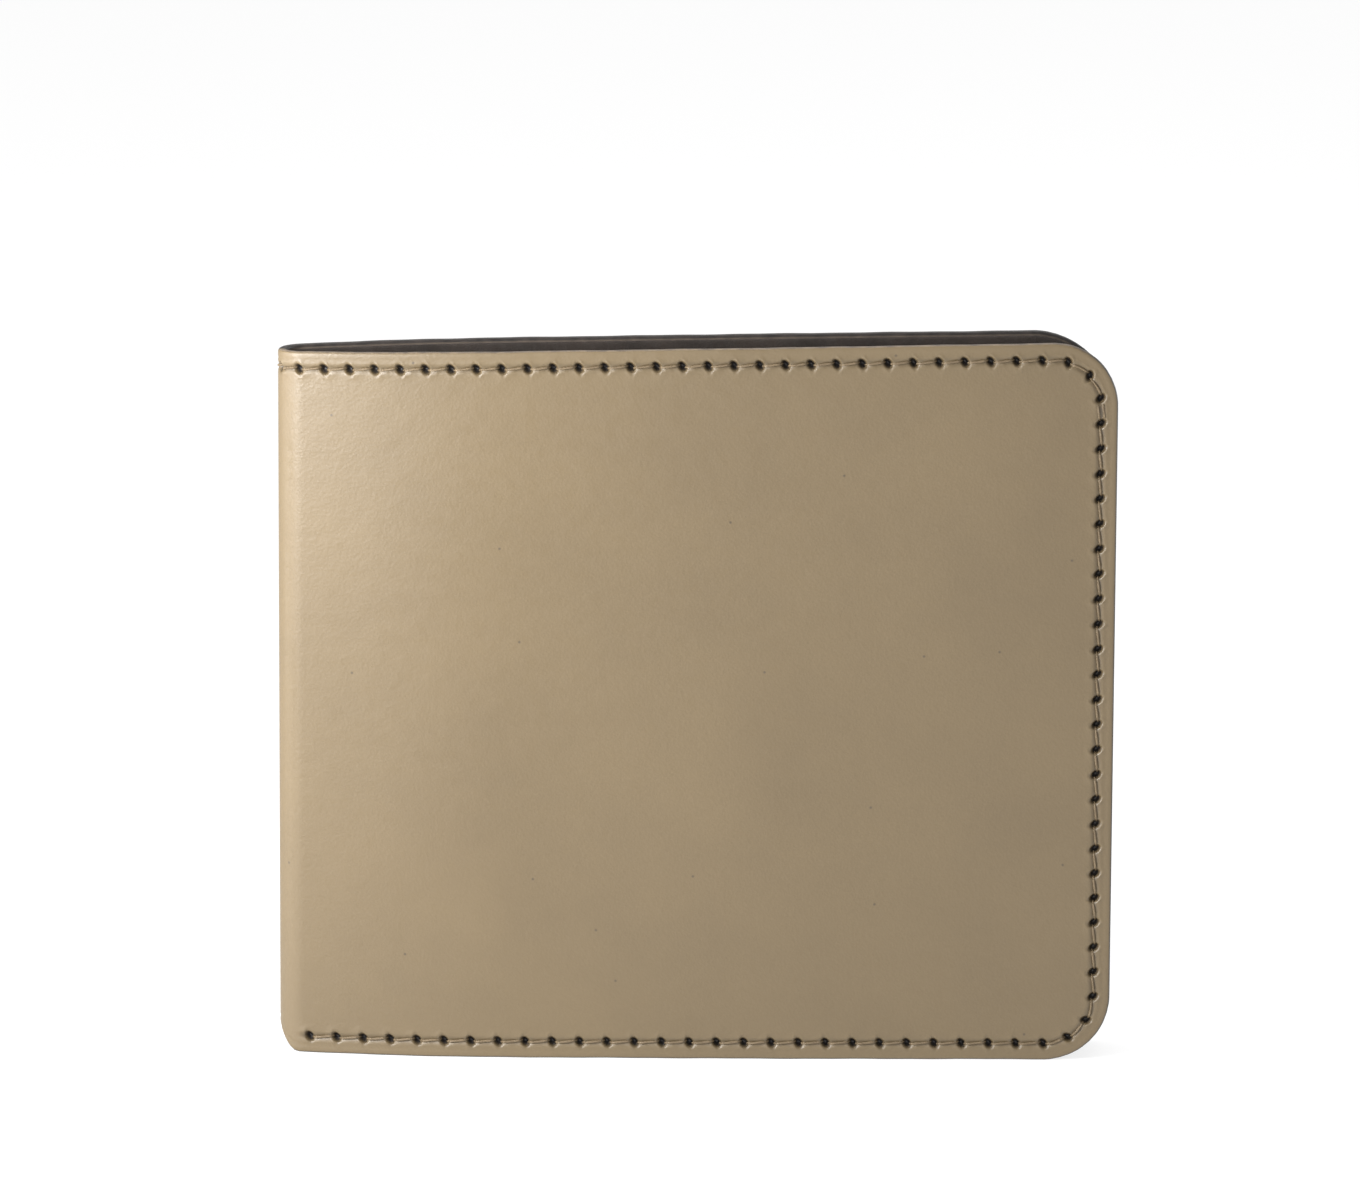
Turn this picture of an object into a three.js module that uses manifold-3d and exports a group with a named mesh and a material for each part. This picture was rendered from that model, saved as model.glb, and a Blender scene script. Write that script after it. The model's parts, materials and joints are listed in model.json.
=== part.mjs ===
// Bifold wallet, closed and standing on its long bottom edge. Millimetres.
// +X is the open side, -X the fold, -Y the front half, +Y the back half, +Z up.
import * as THREE from 'three';
import { mergeVertices } from 'three/addons/utils/BufferGeometryUtils.js';
import Module from 'manifold-3d';

const wasm = await Module();
wasm.setup();

// Driving dimensions
const LENGTH = 114;            // fold to open side, closed
const HEIGHT = 97.4;           // at the fold
const FLARE = 2.2;             // how much taller the open side is
const THICKNESS = 13;          // closed, at the fullest part
const FOLD_RADIUS = 4;         // outside radius of the fold
const CORNER_RADIUS = 9;       // cover corners on the open side
const COVER_THICKNESS = 1.2;
const LINING_THICKNESS = 0.4;
const POCKET_THICKNESS = 0.6;
const THREAD_RADIUS = 0.25;

// How the stack swells out of the fold and thins again to the open side
const FOLD_TILT = THREE.MathUtils.degToRad(10);   // slope of the covers where the fold's arc ends
const TAPER_START = 60;
const TAPER = 0.6;

// Clearances between neighbouring layers
const GLUE_GAP = 0.1;
const SLOT_GAP = 0.25;
const CENTRE_GAP = 0.3;        // from the middle plane to the first pocket
const FOLD_LINE_GAP = 0.15;    // each side of a fold line
const TRIM = 0.3;              // inner layers stop this far inside the cover's edge

// Inner layers
const LINING_DROP = 0.6;
const PANEL_START = 11;        // distance from the fold
const PANEL_DROP = 5;          // below the cover's top edge
const POCKET_START = 18;
const POCKET_TOPS = [84, 72, 60];
const POCKET_DEPTH = 55;
const MOUTH_HEIGHT = 14;       // full-width band at the top of a T-shaped pocket
const SHOULDER = 7;            // how far a T-shaped pocket narrows below that band

// The fold: a spine strip between two fold lines, as angles round the fold from the back half
const FOLD_LINES = [45, 135].map(THREE.MathUtils.degToRad);
const ARC_PIECES = 8;          // flats round the spine strip
const RELIEF = { width: 1.5, height: 3 };   // rounded foot of the fold

// Stitching
const SEAM_INSET = 2.3;
const SEAM_DEPTH = 0.1;        // thread centre below the leather's face
const GROOVE_RADIUS = 0.55;
const THREAD_END_ANGLE = THREE.MathUtils.degToRad(41);
const GROOVE_END_ANGLE = THREE.MathUtils.degToRad(52);
const BOTTOM_SEAM_START = 5;
const FLAT_THREAD = { width: 0.5, thickness: 0.12, lift: 0.06 };
const MOUTH_STEP = { above: 1.2, below: 0.4 };   // where the side seam steps over a pocket mouth

const FOLD_X = -LENGTH / 2;
const OPEN_X = LENGTH / 2;
const FOLD_CENTRE_X = FOLD_X + FOLD_RADIUS;
const HALF_THICKNESS = THICKNESS / 2;
const LINING_DEPTH = COVER_THICKNESS + GLUE_GAP;
const INNER_FACE_DEPTH = LINING_DEPTH + LINING_THICKNESS;
const POCKET_PITCH = POCKET_THICKNESS + SLOT_GAP;
const REACH = 20;              // long enough to cut through the whole stack
const OVERHANG = 1;            // how far the covers' outline runs past the fold
const MERGE_TOLERANCE = 1e-5;

// The fold's arc stops where its slope matches the covers'; the swell brings that slope to nothing.
const ARC_END = FOLD_RADIUS * (1 - Math.sin(FOLD_TILT));
const ARC_HALF_THICKNESS = FOLD_RADIUS * Math.cos(FOLD_TILT);
const SWELL_LENGTH = 2 * (HALF_THICKNESS - ARC_HALF_THICKNESS) / Math.tan(FOLD_TILT);
const SWELL_END = ARC_END + SWELL_LENGTH;

// Pieces that the curves are drawn in
const SWELL_PIECES = 8;
const TAPER_PIECES = 4;
const CORNER_PIECES = 5;       // of a seam round a corner
const CURVE_SEGMENTS = 4;

const leather = new THREE.MeshStandardMaterial({ color: 0xa08c6c, roughness: 0.55, metalness: 0 });
const lining = new THREE.MeshStandardMaterial({ color: 0x2b211c, roughness: 0.85, metalness: 0 });
const darkLeather = new THREE.MeshStandardMaterial({ color: 0x3a2b23, roughness: 0.6, metalness: 0 });
const thread = new THREE.MeshStandardMaterial({ color: 0xa8926e, roughness: 0.7, metalness: 0 });

// Joining and cutting

function toManifold(geometry) {
  const bare = geometry.clone();
  bare.deleteAttribute('normal');
  bare.deleteAttribute('uv');
  const merged = mergeVertices(bare, MERGE_TOLERANCE);
  const vertProperties = new Float32Array(merged.attributes.position.array);
  const triVerts = new Uint32Array(merged.index.array);
  return new wasm.Manifold(new wasm.Mesh({ numProp: 3, vertProperties, triVerts }));
}

function toGeometry(manifold) {
  const mesh = manifold.getMesh();
  const indexed = new THREE.BufferGeometry();
  indexed.setAttribute('position', new THREE.BufferAttribute(new Float32Array(mesh.vertProperties), 3));
  indexed.setIndex(new THREE.BufferAttribute(new Uint32Array(mesh.triVerts), 1));
  const geometry = indexed.toNonIndexed();
  geometry.computeVertexNormals();
  return geometry;
}

// The wallet's plan shape

function ease(t) {
  return t * t * (3 - 2 * t);
}

// Half the closed thickness at a distance from the fold's outer end: the slope at the fold
// dies away evenly over the swell, then the open side thins a little.
function halfThickness(distance) {
  const run = SWELL_END - Math.min(distance, SWELL_END);
  const swell = Math.tan(FOLD_TILT) * run * run / (2 * SWELL_LENGTH);
  const part = Math.max(0, (distance - TAPER_START) / (LENGTH - TAPER_START));
  return HALF_THICKNESS - swell - TAPER * ease(part);
}

// Slope of the cover's face at that distance.
function slopeAngle(distance) {
  const step = 0.01;
  return Math.atan2(halfThickness(distance + step) - halfThickness(distance - step), 2 * step);
}

function spread(from, to, pieces) {
  return Array.from({ length: pieces + 1 }, (_, i) => from + (to - from) * i / pieces);
}

// Distances from the fold at which every curved layer has its plan points.
const STATIONS = [
  ...spread(ARC_END, SWELL_END, SWELL_PIECES),
  ...spread(TAPER_START, LENGTH, TAPER_PIECES),
];

function planPoint(distance, offset, side) {
  return new THREE.Vector2(FOLD_X + distance, side * offset);
}

// A point at a depth below the cover's outer face.
function skinPoint(distance, depth, side) {
  const slope = slopeAngle(distance);
  const offset = halfThickness(distance) - depth * Math.cos(slope);
  return planPoint(distance + depth * Math.sin(slope), offset, side);
}

// A point of the fold's arc; angle 0 is the back half's end and 180 degrees the front's.
function arcPoint(angle, depth) {
  const radius = FOLD_RADIUS - depth;
  return new THREE.Vector2(FOLD_CENTRE_X - radius * Math.sin(angle), radius * Math.cos(angle));
}

// Angle that leaves a fold line's clearance at the given depth.
function gapAngle(depth) {
  return Math.asin(FOLD_LINE_GAP / (FOLD_RADIUS - depth));
}

// Plan of one half of a layer that runs into the fold.
function halfSkinPlan(side, depth, thickness) {
  const face = (faceDepth) => {
    const end = FOLD_LINES[0] - gapAngle(faceDepth);
    const angles = spread(end, FOLD_TILT, ARC_PIECES / 2).slice(0, -1);
    const curl = angles.map((angle) => arcPoint(angle, faceDepth));
    const bent = curl.map((point) => new THREE.Vector2(point.x, side * point.y));
    const flat = STATIONS.map((d) => skinPoint(d, faceDepth, side));
    return [...bent, ...flat];
  };
  return [...face(depth), ...face(depth + thickness).reverse()];
}

// Plan of the spine strip between the two fold lines.
function spinePlan(depth, thickness) {
  const face = (faceDepth) => {
    const clearance = gapAngle(faceDepth);
    const angles = spread(FOLD_LINES[0] + clearance, FOLD_LINES[1] - clearance, ARC_PIECES);
    return angles.map((angle) => arcPoint(angle, faceDepth));
  };
  return [...face(depth), ...face(depth + thickness).reverse()];
}

// Plan of the note compartment's wall: flat over the pockets, curled in towards the fold.
function panelPlan(side) {
  const flatFace = CENTRE_GAP + POCKET_TOPS.length * POCKET_PITCH + POCKET_THICKNESS;
  const outer = (d) => Math.min(flatFace, halfThickness(d) - INNER_FACE_DEPTH - GLUE_GAP);
  const distances = [PANEL_START, ...STATIONS.filter((d) => d > PANEL_START)];
  const outerFace = distances.map((d) => planPoint(d, outer(d), side));
  const innerFace = distances.map((d) => planPoint(d, outer(d) - POCKET_THICKNESS, side));
  return [...outerFace, ...innerFace.reverse()];
}

function slabPlan(side, start, innerFace, thickness) {
  return [
    planPoint(start, innerFace, side),
    planPoint(LENGTH, innerFace, side),
    planPoint(LENGTH, innerFace + thickness, side),
    planPoint(start, innerFace + thickness, side),
  ];
}

function pocketInnerFace(index) {
  return CENTRE_GAP + (POCKET_TOPS.length - 1 - index) * POCKET_PITCH;
}

// The wallet's side shape, as seen from the front

// The top edge climbs evenly up to the start of the open side's corner.
function topAt(distance) {
  return HEIGHT + FLARE * Math.min(1, distance / (LENGTH - CORNER_RADIUS));
}

// Square top and rounded foot at the fold, round corners on the open side.
function coverOutline(drop) {
  const top = (distance) => topAt(distance) - drop;
  const left = FOLD_X - OVERHANG;
  const right = OPEN_X - drop;
  const radius = CORNER_RADIUS - drop;
  const cornerX = right - radius;
  const shape = new THREE.Shape();
  shape.moveTo(left, top(0));
  shape.lineTo(left, RELIEF.height);
  shape.lineTo(FOLD_X, RELIEF.height);
  shape.absellipse(
    FOLD_X + RELIEF.width, RELIEF.height, RELIEF.width, RELIEF.height - drop,
    Math.PI, 1.5 * Math.PI, false,
  );
  shape.absarc(cornerX, radius + drop, radius, 1.5 * Math.PI, 2 * Math.PI, false);
  shape.absarc(cornerX, top(LENGTH) - radius, radius, 0, 0.5 * Math.PI, false);
  return shape;
}

// Inner layer outline with the open side's corners kept inside the cover's.
function innerOutline(start, topEdge) {
  const right = OPEN_X - TRIM;
  const radius = CORNER_RADIUS - TRIM;
  const cornerX = right - radius;
  const upperCornerZ = topAt(LENGTH) - CORNER_RADIUS;
  const shape = new THREE.Shape();
  shape.moveTo(FOLD_X + start, topEdge);
  shape.lineTo(FOLD_X + start, TRIM);
  shape.absarc(cornerX, radius + TRIM, radius, 1.5 * Math.PI, 2 * Math.PI, false);
  if (topEdge > upperCornerZ) {
    const cut = Math.asin((topEdge - upperCornerZ) / radius);
    shape.absarc(cornerX, upperCornerZ, radius, 0, cut, false);
  } else {
    shape.lineTo(right, topEdge);
  }
  return shape;
}

// T-shaped pocket outline: a full-width mouth band over a narrower body.
function pocketOutline(topEdge) {
  const left = FOLD_X + POCKET_START;
  const right = OPEN_X - TRIM;
  const band = topEdge - MOUTH_HEIGHT;
  const foot = topEdge - POCKET_DEPTH;
  return new THREE.Shape([
    new THREE.Vector2(left, topEdge),
    new THREE.Vector2(left, band),
    new THREE.Vector2(left + SHOULDER, band),
    new THREE.Vector2(left + SHOULDER, foot),
    new THREE.Vector2(right - SHOULDER, foot),
    new THREE.Vector2(right - SHOULDER, band),
    new THREE.Vector2(right, band),
    new THREE.Vector2(right, topEdge),
  ]);
}

// A layer is its plan drawn upwards, kept where its outline drawn through it also is.
function layer(plan, outline) {
  const upright = new THREE.ExtrudeGeometry(new THREE.Shape(plan), {
    depth: HEIGHT + FLARE + REACH, bevelEnabled: false,
  });
  upright.translate(0, 0, -REACH / 2);
  const through = new THREE.ExtrudeGeometry(outline, {
    depth: 2 * REACH, bevelEnabled: false, curveSegments: CURVE_SEGMENTS,
  });
  through.rotateX(Math.PI / 2);
  through.translate(0, REACH, 0);
  return toManifold(upright).intersect(toManifold(through));
}

// Stitching paths

// Keeps one ring of the tube at each of its own points.
class StationPath extends THREE.CatmullRomCurve3 {
  getUtoTmapping(u) {
    return u;
  }
}

function tube(points, radius) {
  const section = new THREE.Shape();
  section.absarc(0, 0, radius, 0, 2 * Math.PI, false);
  return new THREE.ExtrudeGeometry(section, {
    steps: points.length - 1,
    extrudePath: new StationPath(points),
    curveSegments: CURVE_SEGMENTS,
    bevelEnabled: false,
  });
}

function arcStation(angle, side, z) {
  const point = arcPoint(angle, SEAM_DEPTH);
  return new THREE.Vector3(point.x, side * point.y, z);
}

// Round one half's three free edges, from the fold's top to just short of its foot.
function edgeSeamPoints(side, endAngle) {
  const onFace = (distance, z) => {
    const offset = side * (halfThickness(distance) - SEAM_DEPTH);
    return new THREE.Vector3(FOLD_X + distance, offset, z);
  };
  const radius = CORNER_RADIUS - SEAM_INSET;
  const cornerDistance = LENGTH - CORNER_RADIUS;
  const corner = (centreZ, from, to) => spread(from, to, CORNER_PIECES).map((angle) => onFace(
    cornerDistance + radius * Math.cos(angle), centreZ + radius * Math.sin(angle),
  ));
  const straight = STATIONS.filter((d) => d < cornerDistance);
  const lower = straight.filter((d) => d > BOTTOM_SEAM_START);
  return [
    ...spread(endAngle, FOLD_TILT, ARC_PIECES / 2).slice(0, -1).map(
      (angle) => arcStation(angle, side, topAt(0) - SEAM_INSET),
    ),
    ...straight.map((d) => onFace(d, topAt(d) - SEAM_INSET)),
    ...corner(topAt(LENGTH) - CORNER_RADIUS, Math.PI / 2, 0),
    ...corner(CORNER_RADIUS, 0, -Math.PI / 2),
    ...lower.reverse().map((d) => onFace(d, SEAM_INSET)),
    onFace(BOTTOM_SEAM_START, SEAM_INSET),
  ];
}

// Across the top of the spine strip, running past its ends by the margin angle.
function spineSeamPoints(margin) {
  const z = topAt(0) - SEAM_INSET;
  const angles = spread(FOLD_LINES[0] - margin, FOLD_LINES[1] + margin, ARC_PIECES);
  return angles.map((angle) => arcStation(angle, 1, z));
}

// Pressed-flat thread along a pocket's foot.
function footSeam(side, index) {
  const foot = POCKET_TOPS[index] - POCKET_DEPTH + SEAM_INSET;
  const outer = pocketInnerFace(index) - FLAT_THREAD.lift;
  const length = LENGTH - TRIM - POCKET_START - 2 * (SHOULDER + SEAM_INSET);
  const bar = new THREE.BoxGeometry(length, FLAT_THREAD.thickness, FLAT_THREAD.width);
  bar.translate(
    (FOLD_X + POCKET_START + OPEN_X - TRIM) / 2,
    side * (outer - FLAT_THREAD.thickness / 2),
    foot,
  );
  return bar;
}

// Pressed-flat thread down the pockets' fold-side edge, stepping over each pocket mouth.
function sideSeam(side) {
  const steps = [];
  POCKET_TOPS.forEach((topEdge, index) => {
    const face = pocketInnerFace(index) - FLAT_THREAD.lift;
    const last = index === POCKET_TOPS.length - 1;
    const below = last ? SEAM_INSET : POCKET_TOPS[index + 1] + MOUTH_STEP.above;
    const above = index === 0 ? topEdge - SEAM_INSET : topEdge + MOUTH_STEP.below;
    steps.push(new THREE.Vector2(face, above), new THREE.Vector2(face, below));
  });
  const inner = steps.map((p) => new THREE.Vector2(p.x - FLAT_THREAD.thickness, p.y));
  const outline = [...steps, ...inner.reverse()].map((p) => new THREE.Vector2(side * p.x, p.y));
  const strip = new THREE.ExtrudeGeometry(new THREE.Shape(outline), {
    depth: FLAT_THREAD.width, bevelEnabled: false,
  });
  const toUpright = new THREE.Matrix4().makeBasis(
    new THREE.Vector3(0, 1, 0), new THREE.Vector3(0, 0, 1), new THREE.Vector3(1, 0, 0),
  );
  strip.applyMatrix4(toUpright);
  strip.translate(FOLD_X + POCKET_START + SEAM_INSET, 0, 0);
  return strip;
}

// Assembly

const wallet = new THREE.Group();
wallet.name = 'bifold_wallet';

function add(name, geometry, material) {
  const mesh = new THREE.Mesh(geometry, material);
  mesh.name = name;
  wallet.add(mesh);
}

function addHalf(name, side) {
  const groove = toManifold(tube(edgeSeamPoints(side, GROOVE_END_ANGLE), GROOVE_RADIUS));
  const cover = layer(halfSkinPlan(side, 0, COVER_THICKNESS), coverOutline(0));
  add(`cover_${name}`, toGeometry(cover.subtract(groove)), leather);
  add(`seam_${name}`, tube(edgeSeamPoints(side, THREAD_END_ANGLE), THREAD_RADIUS), thread);

  const inside = layer(halfSkinPlan(side, LINING_DEPTH, LINING_THICKNESS), coverOutline(LINING_DROP));
  add(`lining_${name}`, toGeometry(inside), lining);

  const wall = layer(panelPlan(side), innerOutline(PANEL_START, HEIGHT - PANEL_DROP));
  add(`panel_${name}`, toGeometry(wall), darkLeather);

  POCKET_TOPS.forEach((topEdge, index) => {
    const last = index === POCKET_TOPS.length - 1;
    const outline = last ? innerOutline(POCKET_START, topEdge) : pocketOutline(topEdge);
    const plan = slabPlan(side, POCKET_START, pocketInnerFace(index), POCKET_THICKNESS);
    add(`pocket_${name}_${index + 1}`, toGeometry(layer(plan, outline)), darkLeather);
    if (!last) {
      add(`foot_seam_${name}_${index + 1}`, footSeam(side, index), thread);
    }
  });
  add(`side_seam_${name}`, sideSeam(side), thread);
}

function addSpine() {
  const groove = toManifold(tube(spineSeamPoints(2 * gapAngle(0)), GROOVE_RADIUS));
  const strip = layer(spinePlan(0, COVER_THICKNESS), coverOutline(0));
  add('spine', toGeometry(strip.subtract(groove)), leather);
  const inside = layer(spinePlan(LINING_DEPTH, LINING_THICKNESS), coverOutline(LINING_DROP));
  add('spine_lining', toGeometry(inside), lining);
  add('spine_seam', tube(spineSeamPoints(-2 * gapAngle(0)), THREAD_RADIUS), thread);
}

addHalf('back', 1);
addHalf('front', -1);
addSpine();

export default wallet;
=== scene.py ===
"""A hand-stitched bifold wallet, closed and standing on its long edge, on a pale floor."""
import json
import math

import bpy
import numpy as np
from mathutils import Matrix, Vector
from mathutils.geometry import delaunay_2d_cdt


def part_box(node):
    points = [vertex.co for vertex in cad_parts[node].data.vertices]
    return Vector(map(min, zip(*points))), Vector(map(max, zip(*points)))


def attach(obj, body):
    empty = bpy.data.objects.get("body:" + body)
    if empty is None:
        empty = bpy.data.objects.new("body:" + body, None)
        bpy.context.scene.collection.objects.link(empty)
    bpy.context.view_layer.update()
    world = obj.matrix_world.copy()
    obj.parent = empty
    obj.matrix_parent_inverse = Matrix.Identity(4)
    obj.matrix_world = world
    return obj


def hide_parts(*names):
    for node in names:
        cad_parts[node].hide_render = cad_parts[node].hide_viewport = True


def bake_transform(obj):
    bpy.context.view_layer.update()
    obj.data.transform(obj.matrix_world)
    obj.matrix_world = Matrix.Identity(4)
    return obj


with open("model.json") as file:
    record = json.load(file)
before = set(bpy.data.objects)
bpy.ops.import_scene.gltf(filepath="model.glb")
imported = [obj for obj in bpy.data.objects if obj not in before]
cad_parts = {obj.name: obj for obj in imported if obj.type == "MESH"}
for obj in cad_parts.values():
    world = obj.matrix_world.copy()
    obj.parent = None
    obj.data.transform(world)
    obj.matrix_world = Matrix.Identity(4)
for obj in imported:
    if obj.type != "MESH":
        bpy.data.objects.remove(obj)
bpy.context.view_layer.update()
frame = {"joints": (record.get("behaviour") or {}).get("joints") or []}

MM = 0.001

# ---------------------------------------------------------------- sizes, in millimetres

cover_low, cover_high = (np.array(c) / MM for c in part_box("cover_front"))
fold_low, fold_high = (np.array(c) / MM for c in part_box("spine"))
first_hinge = np.array(frame["joints"][0]["pos_m"]) / MM

FOLD_X = fold_low[0]
OPEN_X = cover_high[0]
LENGTH = OPEN_X - FOLD_X
TOP_AT_FOLD = fold_high[2]
TOP_AT_OPEN = cover_high[2]
HALF_THICKNESS = -cover_low[1]
HINGE_ANGLE = math.radians(45)
FOLD_RADIUS = first_hinge[1] / math.cos(HINGE_ANGLE)
FOLD_CENTRE_X = FOLD_X + FOLD_RADIUS

# The covers leave the fold's arc at this slope, swell to full thickness and thin at the open side
FOLD_TILT = math.radians(10)
ARC_END = FOLD_RADIUS * (1 - math.sin(FOLD_TILT))
SWELL_LENGTH = 2 * (HALF_THICKNESS - FOLD_RADIUS * math.cos(FOLD_TILT)) / math.tan(FOLD_TILT)
SWELL_END = ARC_END + SWELL_LENGTH
TAPER_START = 60
TAPER = 0.6
CORNER_RADIUS = 9
UPPER_CORNERS = {1: 11.2, -1: 8.6}      # the back half's and the front half's

# The layers, as depths below the cover's outer face or distances from the fold
COVER_THICKNESS = 1.2
LINING_DEPTH = 1.26
LINING_THICKNESS = 0.4
LAYER_THICKNESS = 0.6
SLOT_PITCH = 0.85
CENTRE_GAP = 0.3
TRIM = 0.3
PANEL_START = 11
POCKET_START = 18
POCKET_TOPS = [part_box(f"pocket_front_{order}")[1][2] / MM for order in (1, 2, 3)]
POCKET_DEPTH = 55
MOUTH_HEIGHT = 14
SHOULDER = 7                            # a T-shaped pocket's body is this much narrower each side
PANEL_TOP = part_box("panel_front")[1][2] / MM
LINING_DROP = 0.6
RELIEF_HEIGHT = 3.2                     # the fold's foot is cut back
RELIEF_WIDTH = 4.8

# The outer seam
SEAM_INSET = 2.3
THREAD_RADIUS = 0.17
SLANT = math.radians(57)                # of the awl holes
HOLE_LONG = 0.66
HOLE_WIDE = 0.45
TOP_PITCH = 3.48
SIDE_PITCH = 3.45
BOTTOM_PITCH = 3.74
SEAM_END_DISTANCE = 6.9                 # the foot's stitches stop short of the fold

QUARTER_ARC = FOLD_RADIUS * math.pi / 2
LABELS = {1: "back", -1: "front"}       # a half's side is the sign of its y


# ---------------------------------------------------------------- plan shape of the wallet

def ease(t):
    return t * t * (3 - 2 * t)


def half_thickness(distance):
    """Half the closed thickness at a distance from the fold's outer end."""
    swell = math.tan(FOLD_TILT) * np.clip(SWELL_END - distance, 0, None) ** 2 / (2 * SWELL_LENGTH)
    taper = np.clip((distance - TAPER_START) / (LENGTH - TAPER_START), 0, 1)
    return HALF_THICKNESS - swell - TAPER * ease(taper)


ARC_STEPS = 60
FACE_STEPS = 700


def plan_table():
    """Outer face from the fold's middle to the open side: run along it, x, y and outward normal."""
    angles = np.linspace(math.pi / 2, FOLD_TILT, ARC_STEPS)
    distances = np.linspace(ARC_END, LENGTH, FACE_STEPS)[1:]
    arc_x = FOLD_CENTRE_X - FOLD_RADIUS * np.sin(angles)
    arc_y = FOLD_RADIUS * np.cos(angles)
    x = np.concatenate([arc_x, FOLD_X + distances])
    y = np.concatenate([arc_y, half_thickness(distances)])
    run = np.concatenate([[0], np.cumsum(np.hypot(np.diff(x), np.diff(y)))])
    dx = np.gradient(x, run)
    dy = np.gradient(y, run)
    size = np.hypot(dx, dy)
    return run, x, y, -dy / size, dx / size


PLAN = plan_table()
RUN_END = PLAN[0][-1]


# The leather's unevenness: heights of its two waves, the calm widths by the fold, the open side and
# the long edges, and how far it takes to die out to them
BROAD_WAVE = 0.16
SHORT_WAVE = 0.07
CALM_BY_FOLD = 12
CALM_BY_OPEN_SIDE = 3
CALM_BY_EDGES = 4
FOLD_FADE = 14
EDGE_FADE = 12
WAVE_SEEDS = {1: 2.2, -1: 1.0}


def waviness(u, z, seed):
    """Gentle unevenness of soft leather; it dies out at the fold and the seams."""
    broad = np.sin(u / 19 + seed) * np.sin(z / 23 + 1.7 * seed)
    middling = np.sin(u / 9.5 - z / 13 + 2.3 * seed) * np.sin(z / 11 + u / 31 + seed)
    away = np.clip((u - CALM_BY_FOLD) / FOLD_FADE, 0, 1)
    away = away * np.clip((RUN_END - CALM_BY_OPEN_SIDE - u) / EDGE_FADE, 0, 1)
    away = away * np.clip((z - CALM_BY_EDGES) / EDGE_FADE, 0, 1)
    away = away * np.clip((TOP_AT_FOLD - CALM_BY_EDGES - z) / EDGE_FADE, 0, 1)
    return away * (BROAD_WAVE * broad + SHORT_WAVE * middling)


def skin(u, z, depth, side):
    """Points of the wallet from a cover's flat pattern: run from the fold, height and depth."""
    run, x, y, nx, ny = PLAN
    sunk = depth + waviness(u, z, WAVE_SEEDS[side])
    px = np.interp(u, run, x) - sunk * np.interp(u, run, nx)
    py = np.interp(u, run, y) - sunk * np.interp(u, run, ny)
    return np.stack([px, side * py, z + 0 * px], axis=-1)


def skin_mapping(side):
    """Mapping for sheets drawn on the cover; small negative runs pass the fold's middle."""
    def mapping(flat):
        u = flat[:, 0]
        points = skin(np.abs(u), flat[:, 1], flat[:, 2], side)
        points[u < 0, 1] *= -1
        return points
    return mapping


def top_at(u, side):
    climb = np.clip(u / (RUN_END - UPPER_CORNERS[side]), 0, 1)
    return TOP_AT_FOLD + (TOP_AT_OPEN - TOP_AT_FOLD) * climb


def relief(u):
    return RELIEF_HEIGHT * 0.5 * (1 + np.cos(math.pi * np.clip(u / RELIEF_WIDTH, 0, 1)))


# ---------------------------------------------------------------- mesh building

class Sheet:
    """Collects vertices in flat coordinates (a, b, depth), faces, materials and painted shade values."""

    def __init__(self):
        self.flat = []
        self.painted_shade = []
        self.faces = []
        self.slots = []
        self.count = 0

    def vertices(self, flat, painted_shade=None):
        flat = np.asarray(flat, float).reshape(-1, 3)
        first = self.count
        self.flat.append(flat)
        self.painted_shade.append(np.zeros(len(flat)) if painted_shade is None else np.asarray(painted_shade).reshape(-1))
        self.count += len(flat)
        return np.arange(first, self.count)

    def face(self, corners, slot=0):
        self.faces.append(tuple(int(c) for c in corners))
        self.slots.append(slot)

    def grid(self, ids, slots=None, wrap=False):
        """Quads over a grid of vertex ids, rows by columns."""
        rows, columns = ids.shape
        for r in range(rows - 1):
            slot = slots[r] if slots is not None else 0
            for c in range(columns if wrap else columns - 1):
                d = (c + 1) % columns
                self.face((ids[r, c], ids[r, d], ids[r + 1, d], ids[r + 1, c]), slot)

    def fill(self, loop, inner, depth, flip, slot=0):
        """Triangles inside a closed loop of existing vertices, with extra inner points."""
        flat = np.concatenate(self.flat)
        ring = flat[loop][:, :2]
        coords = [Vector(p) for p in ring] + [Vector(p) for p in inner]
        edges = [(i, (i + 1) % len(loop)) for i in range(len(loop))]
        verts, _, faces, origin, _, _ = delaunay_2d_cdt(coords, edges, [], 1, 1e-7)
        ids = []
        for point, source in zip(verts, origin):
            if source and source[0] < len(loop):
                ids.append(loop[source[0]])
            else:
                ids.append(self.vertices([[point[0], point[1], depth]])[0])
        for corners in faces:
            corners = [ids[c] for c in corners]
            self.face(corners[::-1] if flip else corners, slot)

    def arrays(self):
        return np.concatenate(self.flat), np.concatenate(self.painted_shade)


def build_object(name, points, flat, painted_shade, faces, slots, materials, flip):
    used = sorted({v for f in faces for v in f})
    renumber = {v: i for i, v in enumerate(used)}
    new_faces = [tuple(renumber[v] for v in (f[::-1] if flip else f)) for f in faces]
    mesh = bpy.data.meshes.new(name)
    mesh.from_pydata([tuple(p) for p in points[used] * MM], [], new_faces)
    for material in materials:
        mesh.materials.append(material)
    mesh.polygons.foreach_set("material_index", slots)
    mesh.polygons.foreach_set("use_smooth", [True] * len(new_faces))
    pattern = mesh.attributes.new("pattern", "FLOAT_VECTOR", "POINT")
    pattern.data.foreach_set("vector", np.ascontiguousarray(flat[used] * MM, np.float32).ravel())
    # Per-vertex painted shade: dark at the awl holes, in the stitch groove and on the edges past the top
    marks = mesh.attributes.new("painted_shade", "FLOAT", "POINT")
    marks.data.foreach_set("value", np.ascontiguousarray(painted_shade[used], np.float32))
    mesh.update()
    piece = bpy.data.objects.new(name, mesh)
    bpy.context.scene.collection.objects.link(piece)
    return piece


def sheet_object(name, sheet, mapping, materials, flip):
    flat, painted_shade = sheet.arrays()
    return build_object(name, mapping(flat), flat, painted_shade, sheet.faces, sheet.slots, materials, flip)


# ---------------------------------------------------------------- seam path of one half

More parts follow.
